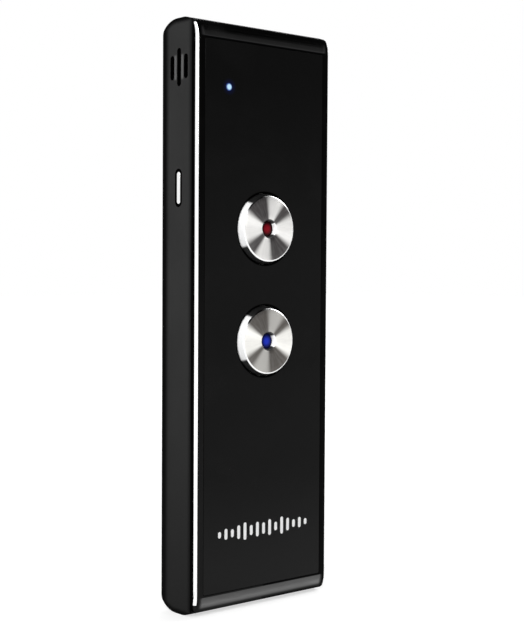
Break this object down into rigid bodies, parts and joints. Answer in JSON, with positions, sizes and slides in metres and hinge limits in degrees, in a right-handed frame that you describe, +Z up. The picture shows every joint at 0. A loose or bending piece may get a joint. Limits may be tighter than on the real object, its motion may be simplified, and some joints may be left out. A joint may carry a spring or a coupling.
{
  "type": "handheld translator",
  "caption": "Slim upright handheld voice translator with a gloss front, round metal talk buttons, a status light, side sound slots and a side power button.",
  "frame": {"origin": "centre of the bounding box at the foot, where it stands upright", "axes": "+Z up along the long side, front with the buttons towards -Y, sound slots and power button on the -X side"},
  "size_m": [0.042, 0.0154, 0.14],
  "materials": {
    "housing_plastic": "fine matte spark texture",
    "frame_gloss": "high gloss black",
    "panel_gloss": "polished black plate",
    "trim_bright": "bright cut edge",
    "film": "clear film",
    "cap_metal": "spun",
    "lens_red": "tinted, clear",
    "lens_blue": "tinted, clear",
    "carrier_plastic": "natural",
    "switch_black": "moulded",
    "steel_sheet": "stamped",
    "power_bright": "plated",
    "light_clear": "clear, lit blue",
    "led_body": "moulded",
    "board_green": "solder mask",
    "chip_black": "moulded",
    "ceramic_cream": "fired",
    "ferrite": "sintered",
    "rubber_dark": "moulded",
    "mic_can": "drawn",
    "speaker_plastic": "moulded",
    "cone_film": "thin film",
    "foam_dark": "foam",
    "mesh_dark": "woven mesh",
    "lead_red": "insulated",
    "cell_wrap": "foil pouch",
    "plug_ivory": "moulded"
  },
  "bodies": {
    "case": {"rear_housing": "housing_plastic", "front_frame": "frame_gloss", "trim_strip_left": "trim_bright", "trim_strip_right": "trim_bright", "front_panel": "panel_gloss", "panel_adhesive": "film", "red_switch_cover": "steel_sheet", "blue_switch_cover": "steel_sheet", "red_switch_base": "switch_black", "blue_switch_base": "switch_black", "red_switch_dome": "steel_sheet", "blue_switch_dome": "steel_sheet", "power_switch_body": "steel_sheet", "led_light_pipe": "light_clear", "status_led": "led_body", "main_board": "board_green", "processor_chip": "chip_black", "memory_chip": "chip_black", "shield_can": "steel_sheet", "antenna_chip": "ceramic_cream", "crystal": "steel_sheet", "power_coil": "ferrite", "usb_socket_shell": "steel_sheet", "usb_socket_tongue": "switch_black", "microphone": "mic_can", "microphone_boot": "rubber_dark", "speaker_body": "speaker_plastic", "speaker_cone": "cone_film", "speaker_gasket": "foam_dark", "slot_mesh": "mesh_dark", "speaker_leads": "lead_red", "battery_cell": "cell_wrap", "battery_pad": "foam_dark", "battery_plug": "plug_ivory", "battery_leads": "lead_red", "board_screws": "steel_sheet"},
    "red_button": {"red_button_cap": "cap_metal", "red_button_lens": "lens_red", "red_button_carrier": "carrier_plastic"},
    "red_plunger": {"red_switch_plunger": "switch_black"},
    "blue_button": {"blue_button_cap": "cap_metal", "blue_button_lens": "lens_blue", "blue_button_carrier": "carrier_plastic"},
    "blue_plunger": {"blue_switch_plunger": "switch_black"},
    "power_bar": {"power_button": "power_bright"},
    "power_plunger": {"power_switch_plunger": "switch_black"}
  },
  "joints": [
    {"name": "red_press", "type": "slide", "parent": "case", "child": "red_button", "axis": [0, 1, 0], "range_m": [0, 0.0004], "stiffness_N_per_m": 2500},
    {"name": "blue_press", "type": "slide", "parent": "case", "child": "blue_button", "axis": [0, 1, 0], "range_m": [0, 0.0004], "stiffness_N_per_m": 2500},
    {"name": "power_press", "type": "slide", "parent": "case", "child": "power_bar", "axis": [1, 0, 0], "range_m": [0, 0.0003], "stiffness_N_per_m": 2500},
    {"name": "red_plunger_slide", "type": "slide", "parent": "case", "child": "red_plunger", "axis": [0, 1, 0], "range_m": [0, 0.0004]},
    {"name": "blue_plunger_slide", "type": "slide", "parent": "case", "child": "blue_plunger", "axis": [0, 1, 0], "range_m": [0, 0.0004]},
    {"name": "power_plunger_slide", "type": "slide", "parent": "case", "child": "power_plunger", "axis": [1, 0, 0], "range_m": [0, 0.0003]}
  ],
  "couplings": [
    {"joint": "red_plunger_slide", "follows": "red_press", "ratio": 1},
    {"joint": "blue_plunger_slide", "follows": "blue_press", "ratio": 1},
    {"joint": "power_plunger_slide", "follows": "power_press", "ratio": 1}
  ]
}
